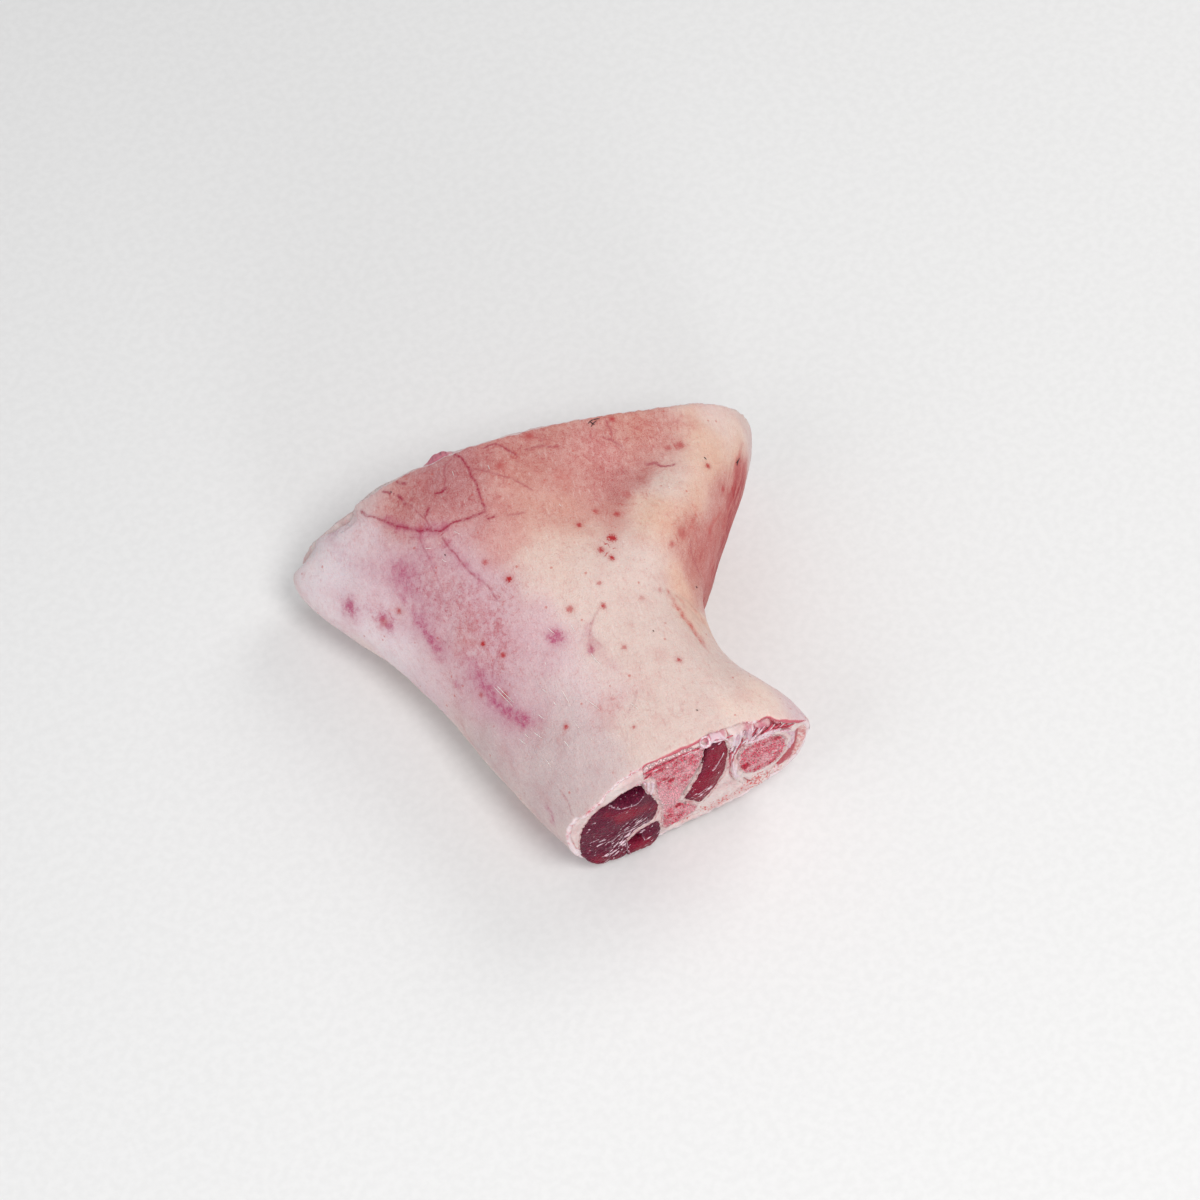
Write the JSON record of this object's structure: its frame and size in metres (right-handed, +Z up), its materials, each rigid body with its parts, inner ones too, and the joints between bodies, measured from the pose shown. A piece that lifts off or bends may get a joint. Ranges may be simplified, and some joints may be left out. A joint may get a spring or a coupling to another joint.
{
  "type": "pork hock",
  "caption": "Raw pork hock lying on its side: pale rind and fat round dark meat and two bones that show at both sawn ends.",
  "frame": {"origin": "middle of the underside, on the surface that the hock lies on", "axes": "+Z up; +Y along the leg from its narrow sawn end to its wide end; +X from the front of the leg to its back, where the heel and the flared corner are"},
  "size_m": [0.1805, 0.1492, 0.0725],
  "materials": {
    "rind": "satin",
    "meat": "gloss",
    "bone": "satin"
  },
  "bodies": {
    "root": {"rind_and_fat": "rind", "meat": "meat", "large_bone": "bone", "small_bone": "bone"}
  },
  "joints": []
}
